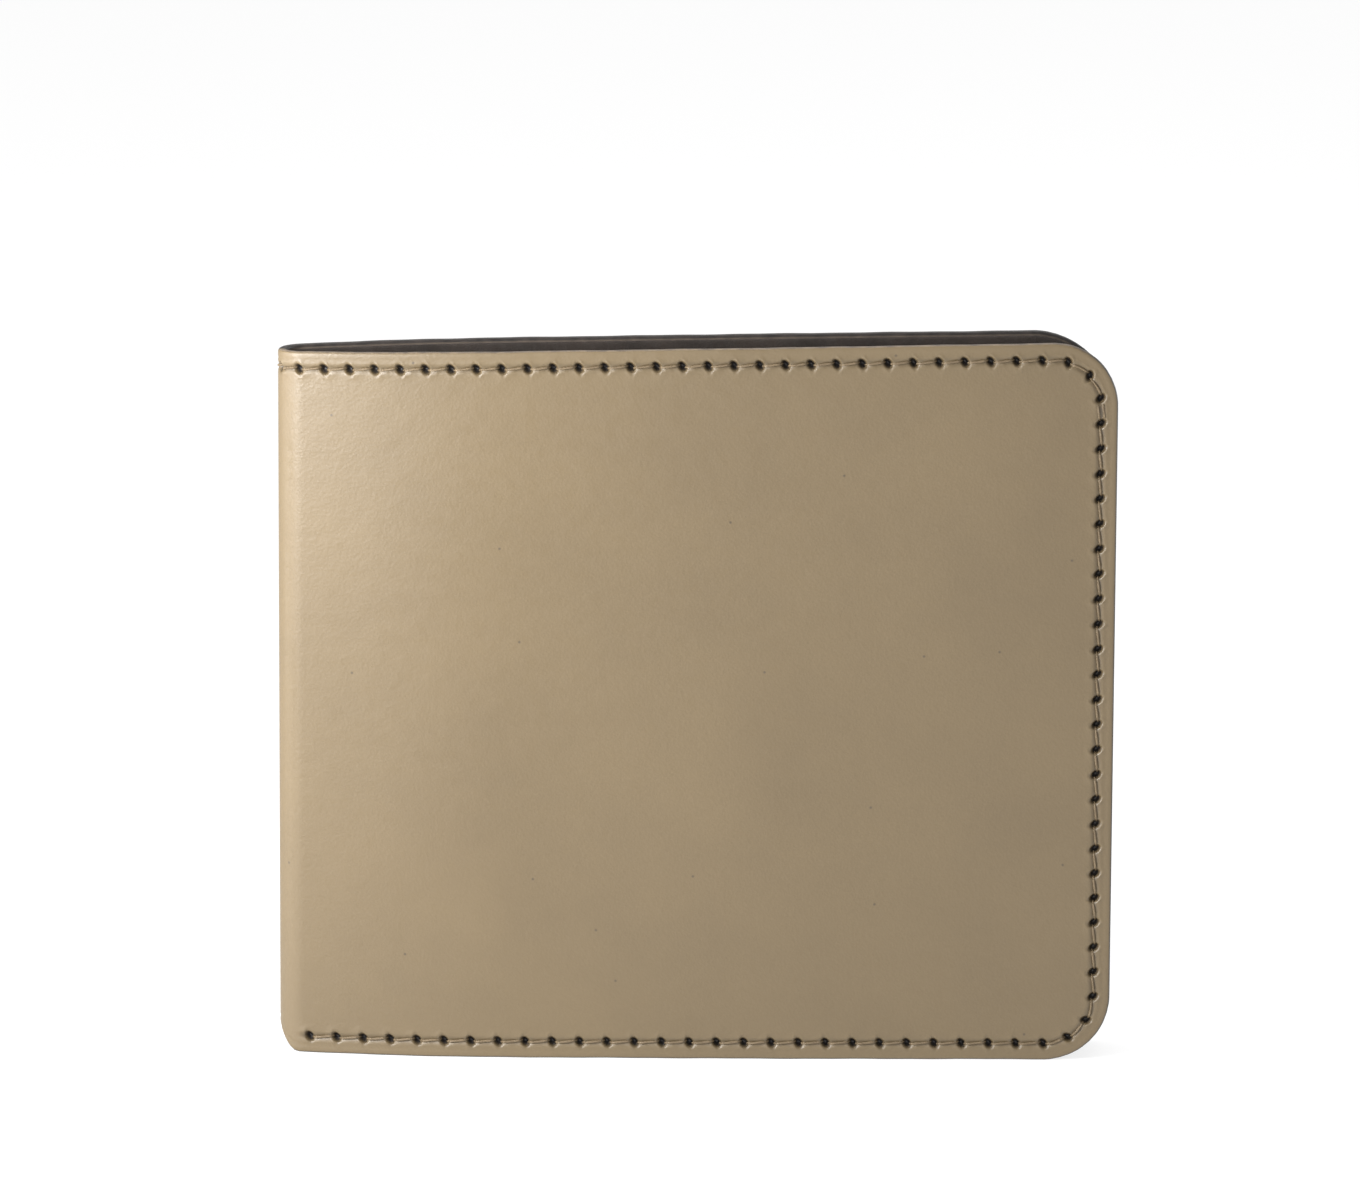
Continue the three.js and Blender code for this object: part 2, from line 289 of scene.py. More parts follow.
TOP_POINTS = 240
TURN_POINTS = 40
FOOT_POINTS = 400
HEADING_REACH = 0.4     # how far each way the path's direction is taken over
START_REACH = 0.1


def turn_points(u, z, radius, angles):
    """Points of a round corner about its centre."""
    return [(u + radius * math.cos(a), z + radius * math.sin(a)) for a in angles]


class SeamPath:
    """Runs along a half's top edge, round the open side and back along the foot, at the seam's inset."""

    def __init__(self, side, inset=SEAM_INSET):
        corner = UPPER_CORNERS[side]
        upper_u = RUN_END - corner
        lower_u = RUN_END - CORNER_RADIUS
        upper_turn = np.linspace(math.pi / 2, 0, TURN_POINTS)[1:]
        lower_turn = np.linspace(0, -math.pi / 2, TURN_POINTS)
        points = [(u, top_at(u, side) - inset) for u in np.linspace(0, upper_u, TOP_POINTS)]
        top_last = len(points) - 1
        points += turn_points(upper_u, TOP_AT_OPEN - corner, corner - inset, upper_turn)
        side_first = len(points) - 1
        points += turn_points(lower_u, CORNER_RADIUS, CORNER_RADIUS - inset, lower_turn)
        foot_first = len(points) - 1
        points += [(u, inset + relief(u)) for u in np.linspace(lower_u, 0, FOOT_POINTS)[1:]]
        self.points = np.array(points)
        steps = np.hypot(*np.diff(self.points, axis=0).T)
        self.run = np.concatenate([[0], np.cumsum(steps)])
        self.length = self.run[-1]
        self.top_end = self.run[top_last]
        self.side_start = self.run[side_first]
        self.foot_start = self.run[foot_first]

    def on_path(self, s):
        return np.interp(s, self.run, self.points[:, 0]), np.interp(s, self.run, self.points[:, 1])

    def at(self, s, w):
        """Flat position s along the seam and w inwards from it, which is straight up along the foot."""
        u, z = self.on_path(s)
        ahead_u, ahead_z = self.on_path(s + HEADING_REACH)
        behind_u, behind_z = self.on_path(s - HEADING_REACH)
        du = ahead_u - behind_u
        dz = ahead_z - behind_z
        size = np.hypot(du, dz)
        at_start = s < START_REACH
        upright = (s > self.foot_start) | at_start
        sideways = np.where(upright, 0, w * dz / size)
        rise = np.where(upright, w * np.where(at_start, -1, 1), -w * du / size)
        return u + sideways, z + rise


HOLE_JITTER = 0.05


def hole_places(path):
    """Distances along the seam of every awl hole of one half."""
    top = np.arange(0.5 * TOP_PITCH, path.top_end, TOP_PITCH)
    around = path.foot_start - top[-1]
    count = round(around / SIDE_PITCH)
    side = top[-1] + np.arange(1, count + 1) * around / count
    foot = np.arange(side[-1] + BOTTOM_PITCH, path.length - SEAM_END_DISTANCE, BOTTOM_PITCH)
    holes = np.concatenate([top, side, foot])
    scatter = 12.9898       # large and uneven, so that neighbours differ
    return holes + HOLE_JITTER * np.sin(np.arange(len(holes)) * scatter)


# Mesh points along the seam: distances from each hole's middle, and the spacing between holes
HOLE_POINTS = np.array([0, 0.1, 0.2, 0.3, 0.4, 0.51, 0.64, 0.8])
PLAIN_SPACING = 0.7
LEAST_SPACING = 0.02


def stretch_points(path, holes):
    """Distances along the seam for the mesh: close together at each hole and sparse between."""
    near = np.concatenate([-HOLE_POINTS[:0:-1], HOLE_POINTS])
    margin = HOLE_POINTS[-1]
    places = [0.0, path.length]
    for hole in holes:
        places += list(hole + near)
    ends = np.concatenate([[0.0], holes, [path.length]])
    for a, b in zip(ends, ends[1:]):
        low, high = a + margin, b - margin
        if high > low:
            count = max(2, int((high - low) / PLAIN_SPACING) + 1)
            places += list(np.linspace(low, high, count)[1:-1])
    places = np.unique(np.round(np.clip(places, 0, path.length), 4))
    return places[np.concatenate([[True], np.diff(places) > LEAST_SPACING])]


# An awl hole: a pit with a raised rim, stronger on one side, with painted shade in the pit. Radii are in
# hole sizes.
PIT_DEPTH = 0.95
PIT_STEEPNESS = 3.2
RIM_HEIGHT = 0.07
RIM_RADIUS = 1.55
RIM_WIDTH = 0.4
HOLE_SHADE = 1.5


def hole_shape(s, w, holes):
    """Depth and painted shade of the awl holes at distances s along and w across the seam."""
    nearest = holes[np.argmin(np.abs(s[..., None] - holes), axis=-1)]
    along = (s - nearest) * math.cos(SLANT) + w * math.sin(SLANT)
    across = -(s - nearest) * math.sin(SLANT) + w * math.cos(SLANT)
    spread = np.sqrt((along / HOLE_LONG) ** 2 + (across / HOLE_WIDE) ** 2)
    pit = np.exp(-spread ** PIT_STEEPNESS)
    rim = np.exp(-((spread - RIM_RADIUS) / RIM_WIDTH) ** 2) * (1 + np.clip(s - nearest, -1, 1))
    return PIT_DEPTH * pit - RIM_HEIGHT * rim, np.clip(HOLE_SHADE * pit, 0, 1)


# ---------------------------------------------------------------- outer leather

# Rows of a cover across its edge: inset from the edge, depth, and the material slot of the strip
# after it, which is 0 for the leather's face and 1 for its cut edge.
EDGE_ROWS = [
    (0.40, 1.20, 1), (0.16, 1.16, 1), (0.03, 1.02, 1), (0.0, 0.80, 1), (0.0, 0.42, 1),
    (0.03, 0.24, 1), (0.10, 0.11, 0), (0.22, 0.035, 0), (0.42, 0.0, 0), (0.80, 0.0, 0),
]
# Insets of the rows across the seam, closest together at the stitches
SEAM_ROWS = [
    1.2, 1.45, 1.6, 1.74, 1.86, 1.97, 2.08, 2.19, 2.3, 2.41,
    2.52, 2.63, 2.74, 2.86, 3.0, 3.2, 3.6, 4.2, 4.9,
]

# Spacing of mesh points round the fold and over the swell, and their clearance from the seam's band
FOLD_SPACING = 0.4
SWELL_SPACING = 1.0
SWELL_POINTS_END = 34
SIDE_CLEARANCE = 0.6
ENDS_CLEARANCE = 0.7
OUTER_SPACING = 2.0
HIDDEN_SPACING = 4.0


def corner_drop(u, radius, inset):
    """How far the outline with that corner, set in by the inset, falls short of its straight edge."""
    past = u - (RUN_END - radius)
    if past <= 0:
        return 0.0
    reach = radius - inset
    return reach - math.sqrt(reach ** 2 - past ** 2) if past < reach else None


def inner_points(side, w_inner, spacing):
    """Points for the plain middle of a half, clear of the band that ends w_inner inside the seam."""
    us = list(np.arange(FOLD_SPACING, QUARTER_ARC + 1, FOLD_SPACING))
    us += list(np.arange(us[-1] + SWELL_SPACING, SWELL_POINTS_END, SWELL_SPACING))
    us += list(np.arange(us[-1] + spacing, RUN_END - SEAM_INSET - w_inner - SIDE_CLEARANCE, spacing))
    points = []
    for u in us:
        low = SEAM_INSET + w_inner + ENDS_CLEARANCE + float(relief(u))
        high = float(top_at(u, side)) - SEAM_INSET - w_inner - ENDS_CLEARANCE
        inset = SEAM_INSET + w_inner + SIDE_CLEARANCE
        lower_drop = corner_drop(u, CORNER_RADIUS, inset)
        upper_drop = corner_drop(u, UPPER_CORNERS[side], inset)
        if lower_drop is None or upper_drop is None:
            continue
        low += lower_drop
        high -= upper_drop
        count = max(2, int((high - low) / spacing) + 1)
        points += [(u, z) for z in np.linspace(low, high, count)]
    return points


# The pressed groove that the stitches lie in, darkened with painted shade, and the creased line outside
# it
GROOVE_DEPTH = 0.2
GROOVE_WIDTH = 0.42
GROOVE_SHADE = 0.3
GROOVE_RUN_ON = 1       # past the last stitch of the foot
GROOVE_FADE = 1.5
HOLES_START = 1         # no row closer to the edge has holes in it
CREASE_DEPTH = 0.05
CREASE_INSET = 1.2
CREASE_WIDTH = 0.14
# The knife's unevenness fades inwards; past the top edge, along the open side and the foot, the cut edge
# is darkened with painted shade
CUT_FADE = 0.6
MIDDLE_HEIGHT = 50
SIDE_SHADE_FADE = 6
SIDE_SHADE_INSET = 0.2


def cover_row(path, s, holes, side, w, depth):
    """One row of a cover's band, w in from its edge: its flat points, and the painted shade of each."""
    offset = w - SEAM_INSET
    u, z = path.at(s, np.full_like(s, offset))
    cut = 0.014 * np.sin(s * 0.9) + 0.02 * np.sin(s * 0.37 + side)
    z = z + cut * math.exp(-w / CUT_FADE) * np.sign(z - MIDDLE_HEIGHT)
    groove = GROOVE_DEPTH * math.exp(-(offset / GROOVE_WIDTH) ** 2)
    groove_end = path.length - SEAM_END_DISTANCE + GROOVE_RUN_ON
    stitched = ease(np.clip((groove_end - s) / GROOVE_FADE, 0, 1))
    # Painted shade: the edge darkens along the open side and the foot, past the top edge
    side_edge_shade = ease(np.clip((s - path.top_end) / SIDE_SHADE_FADE, 0, 1)) * (w < SIDE_SHADE_INSET)
    pit, dark = hole_shape(s, np.full_like(s, offset), holes) if w > HOLES_START else (0 * s, 0 * s)
    crease = CREASE_DEPTH * math.exp(-((w - CREASE_INSET) / CREASE_WIDTH) ** 2)
    depths = depth + (groove * stitched + pit) + crease
    # Painted shade: dark at the awl holes, in the groove, and on the edge past the top
    shade = np.maximum(np.maximum(dark, GROOVE_SHADE * groove / GROOVE_DEPTH * stitched), side_edge_shade)
    return np.stack([u, z, depths], axis=-1), shade


def cover_half(side):
    """Outer leather of one half: edge, groove, holes and plain middle."""
    path = SeamPath(side)
    holes = hole_places(path)
    s = stretch_points(path, holes)
    sheet = Sheet()
    rows = [(w, depth) for w, depth, _ in EDGE_ROWS] + [(w, 0.0) for w in SEAM_ROWS]
    slots = [slot for _, _, slot in EDGE_ROWS] + [0] * (len(SEAM_ROWS) - 1)
    ids = []
    for w, depth in rows:
        ids.append(sheet.vertices(*cover_row(path, s, holes, side, w, depth)))
    ids = np.array(ids)
    sheet.grid(ids, slots)
    outer_face = inner_points(side, SEAM_ROWS[-1] - SEAM_INSET, OUTER_SPACING)
    close_fold(sheet, ids[-1], outer_face, 0.0, True)
    inner_face = inner_points(side, EDGE_ROWS[0][0] - SEAM_INSET, HIDDEN_SPACING)
    close_fold(sheet, ids[0], inner_face, COVER_THICKNESS, False, 2)
    edge = worn_edge if side < 0 else edge_paint
    finishes = [cover_leather, edge, flesh_side]
    return sheet_object(f"leather_{LABELS[side]}", sheet, skin_mapping(side), finishes, side < 0)


FOLD_LINE_POINTS = 50


def close_fold(sheet, row, middle, depth, flip, slot=0):
    """Fills a half between one row of its band and the line along the fold's middle."""
    flat = np.concatenate(sheet.flat)
    start, end = flat[row[0]], flat[row[-1]]
    heights = np.linspace(end[1], start[1], FOLD_LINE_POINTS)[1:-1]
    line = sheet.vertices([(0.0, z, depth) for z in heights])
    loop = list(row) + list(line)
    sheet.fill(loop, middle, depth, flip, slot)


# ---------------------------------------------------------------- thread

# How a stitch lies: height of its middle above the leather, depth of its ends, and the
# distance from each hole's middle at which it goes in.
OUTER_STITCH = {"lift": -0.09, "dive": 0.62, "setback": 0.4}
INNER_STITCH = {"lift": -0.10, "dive": -0.42, "setback": 0.0}
POCKET_STITCH = {"lift": -0.06, "dive": 0.3, "setback": 0.0}

STITCH_SLANT = 0.17     # each end lies this far across the seam
DOUBLE_OFFSET = 0.36    # of the doubled stitch's two threads, each way
SINK_LENGTH = 0.3
END_THINNING = 0.18
STRANDS = 3
STRAND_HEIGHT = 0.09
TWIST_LENGTH = 3.5
TWIST = 9               # radians over a twist length

# Rings along a stitch and points round it
OUTER_DETAIL = (17, 12)
INNER_DETAIL = (9, 8)


def stitches(path_at, starts, ends, faces, lie, detail, offsets=None):
    """Twisted thread from hole to hole. path_at gives flat places; faces is the leather's depth."""
    sheet = Sheet()
    rings, around = detail
    turn = np.linspace(0, 2 * math.pi, around, endpoint=False)
    t = np.linspace(0, 1, rings)
    for i, (a, b) in enumerate(zip(starts, ends)):
        across = STITCH_SLANT - 2 * STITCH_SLANT * t + (offsets[i] if offsets is not None else 0)
        a, b = a + lie["setback"], b - lie["setback"]
        along = a + (b - a) * t
        ends_near = np.minimum(t, 1 - t) * (b - a)
        sink = np.exp(-(ends_near / SINK_LENGTH) ** 2)
        centre_depth = -lie["lift"] + (lie["dive"] + lie["lift"]) * sink
        slope_along = np.gradient(along)
        slope_depth = np.gradient(centre_depth)
        size = np.hypot(slope_along, slope_depth)
        n_along, n_depth = -slope_depth / size, slope_along / size
        twist = TWIST * t[:, None] * (b - a) / TWIST_LENGTH
        lobes = 1 + STRAND_HEIGHT * np.cos(STRANDS * turn[None, :] + twist + i)
        plump = THREAD_RADIUS * (1 - END_THINNING * sink[:, None]) * lobes
        side_part = plump * np.cos(turn)[None, :]
        up_part = plump * np.sin(turn)[None, :]
        s = along[:, None] + up_part * n_along[:, None]
        w = across[:, None] + side_part
        d = centre_depth[:, None] + up_part * n_depth[:, None]
        u, z = path_at(s, w)
        ids = sheet.vertices(np.stack([u, z, faces[i] + d], axis=-1)).reshape(rings, around)
        sheet.grid(ids, wrap=True)
        sheet.face(list(ids[0])[::-1])
        sheet.face(list(ids[-1]))
    return sheet


def stack_depth(u, z):
    """Depth of the innermost layer's face below the cover's outer face, on one half."""
    distance = np.interp(u, PLAN[0], PLAN[1]) - FOLD_X
    lining_face = LINING_DEPTH + LINING_THICKNESS
    if distance < PANEL_START or z > PANEL_TOP:
        return lining_face
    if distance < POCKET_START or z > POCKET_TOPS[0]:
        face = panel_face(distance)
    else:
        order = sum(z < top for top in POCKET_TOPS) - 1
        face = pocket_face(order)
    return float(half_thickness(distance) - face)


def outer_seam(side):
    """Thread on the outer face of one half; the front's also crosses the fold's middle."""
    path = SeamPath(side)
    holes = hole_places(path)
    starts, ends = list(holes[:-1]), list(holes[1:])
    if side < 0:
        starts.insert(0, -holes[0])
        ends.insert(0, holes[0])
    offsets = [0.0] * len(starts)
    double = int(np.argmin(np.abs(np.array(starts) - path.side_start)))
    offsets[double] = DOUBLE_OFFSET
    starts.append(starts[double])
    ends.append(ends[double])
    offsets.append(-DOUBLE_OFFSET)

    def place(s, w):
        u, z = path.at(np.maximum(s, 0), w)
        return u + np.minimum(s, 0), z

    faces = [0.0] * len(starts)
    sheet = stitches(place, starts, ends, faces, OUTER_STITCH, OUTER_DETAIL, offsets)
    return sheet_object(f"thread_{LABELS[side]}", sheet, skin_mapping(side), [waxed_thread], side > 0)


def inner_seam(side):
    """The same seam's thread on the inner face of one half."""
    path = SeamPath(side)
    holes = hole_places(path)
    faces = []
    for a, b in zip(holes, holes[1:]):
        u, z = path.at(0.5 * (a + b), 0.0)
        faces.append(stack_depth(u, z))
    sheet = stitches(path.at, holes[:-1], holes[1:], faces, INNER_STITCH, INNER_DETAIL)
    name = f"inner_thread_{LABELS[side]}"
    return sheet_object(name, sheet, skin_mapping(side), [waxed_thread], side > 0)


# ---------------------------------------------------------------- lining, wall and pockets

# Rows round the lining's edge: inset from the edge and depth
LINING_ROWS = [(0.3, 0.4), (0.06, 0.36), (0.0, 0.2), (0.06, 0.04), (0.3, 0.0)]
LINING_SPACING = 0.8
LINING_BAND = 0.5


def lining_half(side):
    """Dark lining glued inside one half."""
    path = SeamPath(side, LINING_DROP)
    s = np.arange(0, path.length, LINING_SPACING)
    s = np.append(s, path.length)
    sheet = Sheet()
    ids = []
    for w, depth in LINING_ROWS:
        u, z = path.at(s, np.full_like(s, w))
        flat = np.stack([u, z, np.full_like(u, LINING_DEPTH + depth)], axis=-1)
        ids.append(sheet.vertices(flat))
    ids = np.array(ids)
    sheet.grid(ids)
    middle = inner_points(side, LINING_BAND - SEAM_INSET + LINING_DROP, HIDDEN_SPACING)
    close_fold(sheet, ids[-1], middle, LINING_DEPTH, True)
    close_fold(sheet, ids[0], middle, LINING_DEPTH + LINING_THICKNESS, False)
    name = f"lining_sheet_{LABELS[side]}"
    return sheet_object(name, sheet, skin_mapping(side), [lining_cloth], side < 0)


LINING_CLEARANCE = 0.1


def pocket_face(order):
    """How far a pocket's inner face is from the wallet's middle plane."""
    return CENTRE_GAP + (len(POCKET_TOPS) - 1 - order) * SLOT_PITCH


def panel_face(distance):
    """The same for the compartment wall, which stays clear of the lining near the fold."""
    flat = CENTRE_GAP + len(POCKET_TOPS) * SLOT_PITCH
    lining_face = half_thickness(distance) - LINING_DEPTH - LINING_THICKNESS
    return np.minimum(flat, lining_face - LINING_CLEARANCE - LAYER_THICKNESS)


LOOP_SPACING = 0.5


def rounded_loop(corners, radii):
    """Closed outline through the corners with rounded turns, as evenly spaced points."""
    points = []
    count = len(corners)
    for i in range(count):
        before = np.array(corners[i - 1], float)
        corner = np.array(corners[i], float)
        after = np.array(corners[(i + 1) % count], float)
        a = (before - corner) / np.linalg.norm(before - corner)
        b = (after - corner) / np.linalg.norm(after - corner)
        angle = math.acos(float(np.clip(a @ b, -1, 1)))
        cut = radii[i] / math.tan(angle / 2)
        start, end = corner + a * cut, corner + b * cut
        middle = corner + (a + b) / np.linalg.norm(a + b) * radii[i] / math.sin(angle / 2)
        turn = [start - middle, end - middle]
        pieces = max(3, int(radii[i] * (math.pi - angle) / LOOP_SPACING))
        for t in np.linspace(0, 1, pieces + 1):
            mixed = turn[0] * (1 - t) + turn[1] * t
            points.append(middle + mixed / np.linalg.norm(mixed) * radii[i])
    closed = np.array(points + [points[0]])
    run = np.concatenate([[0], np.cumsum(np.hypot(*np.diff(closed, axis=0).T))])
    keep = np.concatenate([[True], np.diff(run) > 1e-6])
    even = np.linspace(0, run[-1], int(run[-1] / LOOP_SPACING), endpoint=False)
    return np.stack([np.interp(even, run[keep], closed[keep, k]) for k in (0, 1)], axis=-1)


# Rows round a layer's edge, as inset and depth: the cut edge first, then the pressed line inside it
LAYER_ROWS = [
    (0.30, 0.60), (0.08, 0.57), (0.0, 0.45), (0.0, 0.15), (0.08, 0.03), (0.30, 0.0),
    (1.0, 0.0), (1.25, 0.05), (1.45, 0.11), (1.65, 0.05), (1.9, 0.0), (2.2, 0.0),
]
EDGE_STRIPS = 5

# Mesh points inside a layer: their spacing and how far they stay from its outline
LAYER_SPACING = 3.0
LAYER_MARGIN = 3.2
FIRST_POINT = 4
LAST_POINT = 3.5
PUFF = 0.05


def layer_object(name, side, corners, radii, face):
    """One inner leather layer. face gives the y of its inner face from the distance and height."""
    loop = rounded_loop(corners, radii)
    tangent = np.roll(loop, -1, axis=0) - np.roll(loop, 1, axis=0)
    tangent /= np.linalg.norm(tangent, axis=1)[:, None]
    inward = np.stack([-tangent[:, 1], tangent[:, 0]], axis=-1)
    sheet = Sheet()
    ids = []
    for w, depth in LAYER_ROWS:
        place = loop + inward * w
        flat = np.column_stack([place, np.full(len(loop), depth)])
        ids.append(sheet.vertices(flat))
    ids = np.array(ids)
    slots = [1] * EDGE_STRIPS + [0] * (len(LAYER_ROWS) - 1 - EDGE_STRIPS)
    sheet.grid(ids, slots, wrap=True)
    low, high = loop.min(axis=0), loop.max(axis=0)
    grid = [
        (x, z)
        for x in np.arange(low[0] + FIRST_POINT, high[0] - LAST_POINT, LAYER_SPACING)
        for z in np.arange(low[1] + FIRST_POINT, high[1] - LAST_POINT, LAYER_SPACING)
        if inside_loop(loop + inward * LAYER_MARGIN, x, z)
    ]
    sheet.fill(list(ids[-1]), grid, 0.0, False)
    sheet.fill(list(ids[0]), grid, LAYER_THICKNESS, True)

    def mapping(flat):
        distance = flat[:, 0] - FOLD_X
        puff = PUFF * np.sin(flat[:, 0] / 9 + len(name)) * np.sin(flat[:, 1] / 12)
        y = face(distance) + puff + flat[:, 2]
        return np.stack([flat[:, 0], side * y, flat[:, 1]], axis=-1)

    return sheet_object(name, sheet, mapping, [inner_leather, inner_edge], side < 0)


def inside_loop(loop, x, z):
    """Whether a ray from the point crosses the loop an odd number of times."""
    crossed = (loop[:, 1] > z) != (np.roll(loop[:, 1], -1) > z)
    dz = np.roll(loop[:, 1], -1) - loop[:, 1]
    dx = np.roll(loop[:, 0], -1) - loop[:, 0]
    with np.errstate(divide="ignore", invalid="ignore"):
        at = loop[:, 0] + (z - loop[:, 1]) / dz * dx
    return bool(np.sum(crossed & (x < at)) % 2)


SMALL_RADIUS = 3
WALL_RADIUS = 5


def rectangle(left, right, top):
    return [(left, TRIM), (right, TRIM), (right, top), (left, top)]


def t_shape(left, right, top):
    """Outline of a pocket with a full-width band at its mouth and a narrower body below."""
    foot, band = top - POCKET_DEPTH, top - MOUTH_HEIGHT
    return [
        (left + SHOULDER, foot), (right - SHOULDER, foot), (right - SHOULDER, band),
        (right, band), (right, top), (left, top), (left, band), (left + SHOULDER, band),
    ]


def wall_half(side, right):
    """Compartment wall of one half."""
    corners = rectangle(FOLD_X + PANEL_START, right, PANEL_TOP)
    radii = [SMALL_RADIUS, CORNER_RADIUS - TRIM, WALL_RADIUS, SMALL_RADIUS]
    return layer_object(f"wall_{LABELS[side]}", side, corners, radii, panel_face)


def card_pocket(side, order, right):
    """One card pocket, and the CAD nodes that it stands for."""
    node = f"pocket_{LABELS[side]}_{order + 1}"
    left = FOLD_X + POCKET_START
    top = POCKET_TOPS[order]
    nodes = [node]
    if order == len(POCKET_TOPS) - 1:
        corners = rectangle(left, right, top)
        radii = [SMALL_RADIUS, CORNER_RADIUS - TRIM, SMALL_RADIUS, SMALL_RADIUS]
    else:
        corners = t_shape(left, right, top)
        radii = [SMALL_RADIUS] * len(corners)
        nodes.append(f"foot_seam_{LABELS[side]}_{order + 1}")

    def face(distance):
        return pocket_face(order) + 0 * distance

    return layer_object(f"card_{node}", side, corners, radii, face), nodes


def inner_half(side):
    """Compartment wall and card pockets of one half, with their seam and the nodes they stand for."""
    right = OPEN_X - TRIM
    pieces = [(wall_half(side, right), [f"panel_{LABELS[side]}"])]
    pieces += [card_pocket(side, order, right) for order in range(len(POCKET_TOPS))]
    pieces.append((pocket_seam(side), [f"side_seam_{LABELS[side]}"]))
    return pieces


POCKET_SEAM_FOOT = SEAM_INSET + 0.4
POCKET_SEAM_END = 1


def pocket_seam(side):
    """Stitches down the pockets' fold-side edge."""
    x = FOLD_X + POCKET_START + SEAM_INSET
    holes = np.arange(POCKET_SEAM_FOOT, POCKET_TOPS[0] - POCKET_SEAM_END, SIDE_PITCH)
    faces = []
    for a, b in zip(holes, holes[1:]):
        order = sum(0.5 * (a + b) < top for top in POCKET_TOPS) - 1
        faces.append(pocket_face(order))

    def place(s, w):
        return x + w, s

    def mapping(flat):
        return np.stack([flat[:, 0], side * flat[:, 2], flat[:, 1]], axis=-1)

    sheet = stitches(place, holes[:-1], holes[1:], faces, POCKET_STITCH, INNER_DETAIL)
    return sheet_object(f"pocket_thread_{LABELS[side]}", sheet, mapping, [waxed_thread], side < 0)


# ---------------------------------------------------------------- materials

# Sockets of the Mix node when it mixes colours; its float sockets have the same names
MIX_A = 6
MIX_B = 7
MIX_RESULT = 2

# Colour of the painted shade on the cut edges
EDGE_SHADE_COLOUR = (0.012, 0.009, 0.007)


class Shader:
    """Small helper that builds one procedural material. Sizes are in millimetres."""

    def __init__(self, name):
        self.material = bpy.data.materials.new(name)
        self.material.use_nodes = True
        self.tree = self.material.node_tree
        self.tree.nodes.clear()
        self.output = self.node("ShaderNodeOutputMaterial")
        self.surface = self.node("ShaderNodeBsdfPrincipled")
        self.link(self.surface.outputs["BSDF"], self.output.inputs["Surface"])
        self.pattern = self.node("ShaderNodeAttribute")
        self.pattern.attribute_name = "pattern"

    def node(self, kind):
        return self.tree.nodes.new(kind)

    def link(self, a, b):
        self.tree.links.new(a, b)

    def noise(self, size_mm, detail=3.0, roughness=0.55):
        node = self.node("ShaderNodeTexNoise")
        self.link(self.pattern.outputs["Vector"], node.inputs["Vector"])
        node.inputs["Scale"].default_value = 1 / (size_mm * MM)
        node.inputs["Detail"].default_value = detail
        node.inputs["Roughness"].default_value = roughness
        return node.outputs["Fac"]

    def cells(self, size_mm, dimensions="3D"):
        node = self.node("ShaderNodeTexVoronoi")
        node.voronoi_dimensions = dimensions
        self.link(self.pattern.outputs["Vector"], node.inputs["Vector"])
        node.inputs["Scale"].default_value = 1 / (size_mm * MM)
        return node.outputs["Distance"]

    def remap(self, value, low, high, to_low=0.0, to_high=1.0):
        node = self.node("ShaderNodeMapRange")
        self.link(value, node.inputs["Value"])
        node.inputs["From Min"].default_value = low
        node.inputs["From Max"].default_value = high
        node.inputs["To Min"].default_value = to_low
        node.inputs["To Max"].default_value = to_high
        return node.outputs["Result"]

    def mix(self, factor, a, b):
        node = self.node("ShaderNodeMix")
        node.data_type = "RGBA"
        self.put(factor, node.inputs["Factor"])
        self.put(a, node.inputs[MIX_A])
        self.put(b, node.inputs[MIX_B])
        return node.outputs[MIX_RESULT]

    def math(self, operation, a, b=0.0):
        node = self.node("ShaderNodeMath")
        node.operation = operation
        self.put(a, node.inputs[0])
        self.put(b, node.inputs[1])
        return node.outputs[0]

    def put(self, value, socket):
        if isinstance(value, bpy.types.NodeSocket):
            self.link(value, socket)
        elif isinstance(value, tuple):
            socket.default_value = (*value, 1.0)
        else:
            socket.default_value = value

    # Reads the per-vertex painted shade from the mesh
    def painted_shade(self):
        node = self.node("ShaderNodeAttribute")
        node.attribute_name = "painted_shade"
        return node.outputs["Fac"]

    def bump(self, height, distance_mm, strength, normal=None):
        node = self.node("ShaderNodeBump")
        node.inputs["Strength"].default_value = strength
        node.inputs["Distance"].default_value = distance_mm * MM
        self.link(height, node.inputs["Height"])
        if normal is not None:
            self.link(normal, node.inputs["Normal"])
        return node.outputs["Normal"]


def leather_material(name, light, dark, speck_and_shade_colour, rough, grain, shine):
    """Smooth leather: broad clouding, flecks, a few specks, pores, and painted shade at the holes, in
    the stitch groove and on the edges past the top.
    """
    shader = Shader(name)
    broad = shader.remap(shader.noise(26), 0.35, 0.65)
    blotch = shader.remap(shader.noise(4.5), 0.3, 0.7)
    fleck = shader.remap(shader.noise(0.45, 2.0), 0.3, 0.75)
    colour = shader.mix(broad, dark, light)
    colour = shader.mix(shader.math("MULTIPLY", blotch, 0.35), colour, light)
    colour = shader.mix(shader.math("MULTIPLY", fleck, 0.28), colour, dark)
    speck = shader.remap(shader.cells(23.0, "2D"), 0.004, 0.010, 1.0, 0.0)
    colour = shader.mix(shader.math("MULTIPLY", speck, 0.6), colour, speck_and_shade_colour)
    # Painted shade from the per-vertex shade attribute
    colour = shader.mix(shader.painted_shade(), colour, speck_and_shade_colour)
    shader.link(colour, shader.surface.inputs["Base Color"])
    roughness = shader.remap(shader.noise(1.8), 0.3, 0.7, rough - 0.06, rough + 0.07)
    shader.link(roughness, shader.surface.inputs["Roughness"])
    pebble = shader.cells(0.42)
    fine = shader.noise(0.22, 3.0)
    soft = shader.noise(3.2, 2.0)
    normal = shader.bump(pebble, 0.035, grain)
    normal = shader.bump(fine, 0.02, grain, normal)
    normal = shader.bump(soft, 0.12, 0.35, normal)
    shader.link(normal, shader.surface.inputs["Normal"])
    shader.surface.inputs["Specular IOR Level"].default_value = shine
    return shader.material


